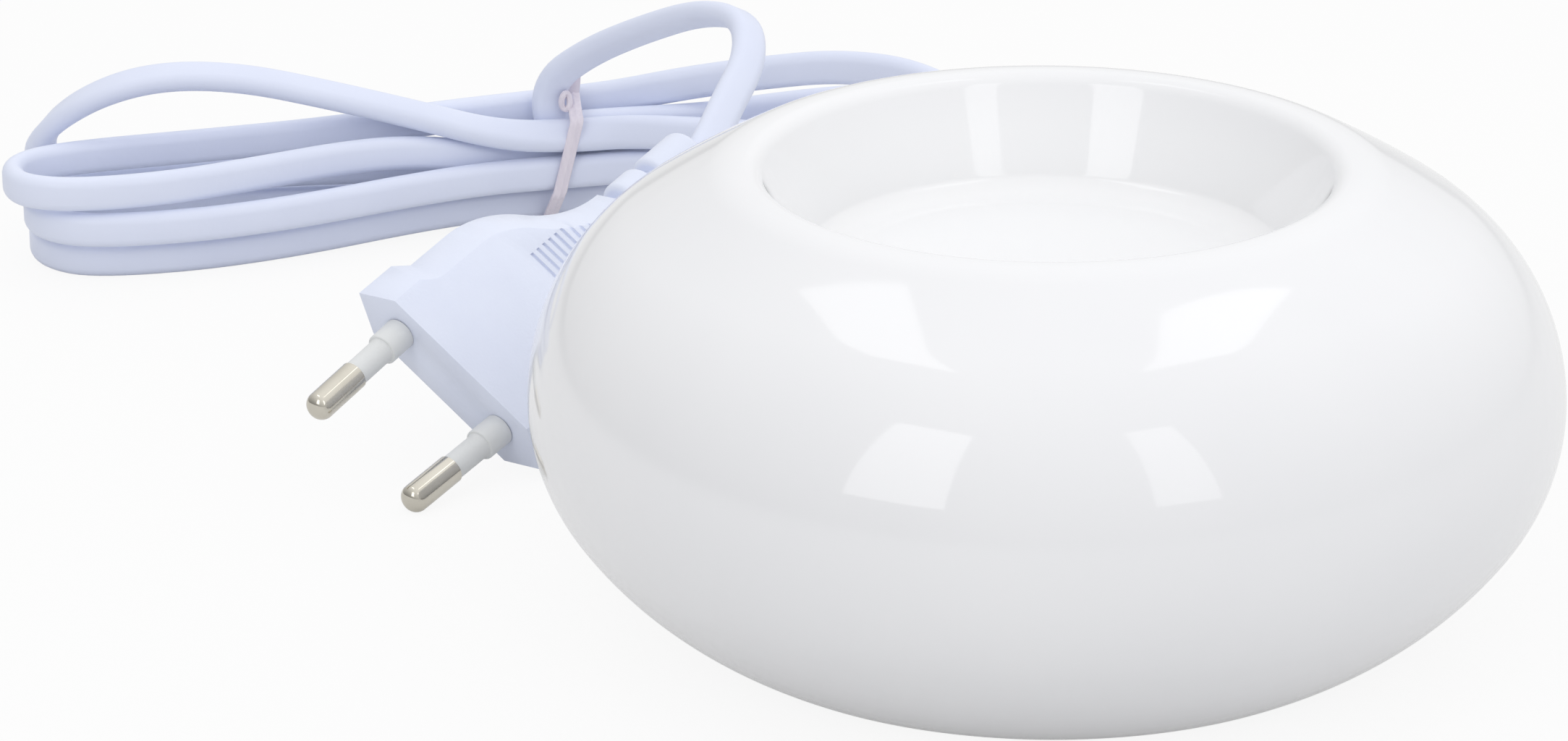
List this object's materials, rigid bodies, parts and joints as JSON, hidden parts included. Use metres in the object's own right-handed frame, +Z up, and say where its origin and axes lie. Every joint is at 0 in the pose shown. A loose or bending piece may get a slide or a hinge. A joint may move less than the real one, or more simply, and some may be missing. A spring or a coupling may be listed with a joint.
{
  "type": "wax melt warmer",
  "caption": "Low round glazed ceramic wax melt warmer with a shallow dish in its top, an electric heater underneath, and a flat mains cord tied in a hank with a two-pin plug.",
  "frame": {"origin": "on the table under the middle of the round body", "axes": "+Z up along the body's axis, +Y to the back where the cord comes out, +X to the right seen from the front"},
  "size_m": [0.2151, 0.248, 0.059],
  "materials": {
    "white_glaze": "gloss",
    "white_cover": "satin",
    "foot_rubber": "matte",
    "zinc_steel": "satin",
    "heater_aluminium": "satin",
    "element_ceramic": "matte",
    "insulation_board": "matte",
    "fuse_metal": "satin",
    "sleeve_fibre": "matte",
    "block_plastic": "satin",
    "screw_brass": "satin",
    "wire_white": "satin",
    "cord_white": "satin",
    "grommet_white": "satin",
    "tie_pale": "satin",
    "plug_white": "satin",
    "pin_nickel": "polished"
  },
  "bodies": {
    "root": {"ceramic_body": "white_glaze", "base_cover": "white_cover", "cord_clamp": "white_cover", "rubber_feet": "foot_rubber", "clamp_bar": "zinc_steel", "heater_bridge": "zinc_steel", "cover_screws": "zinc_steel", "bridge_screws": "zinc_steel", "clamp_screws": "zinc_steel", "stud_washer": "zinc_steel", "stud_nut": "zinc_steel", "fuse_clip": "zinc_steel", "heater_plate": "heater_aluminium", "heating_element": "element_ceramic", "insulation_disc": "insulation_board", "thermal_fuse": "fuse_metal", "fuse_sleeve": "sleeve_fibre", "terminal_block": "block_plastic", "terminal_screws": "screw_brass", "supply_cores": "wire_white", "live_wire": "wire_white", "neutral_wire": "wire_white", "jumper_wire": "wire_white", "inner_cord": "cord_white", "supply_cord": "cord_white", "cord_hank": "cord_white", "plug_lead": "cord_white", "cord_grommet": "grommet_white", "cord_tie": "tie_pale", "plug_body": "plug_white", "pin_sleeves": "plug_white", "plug_pins": "pin_nickel"}
  },
  "joints": []
}
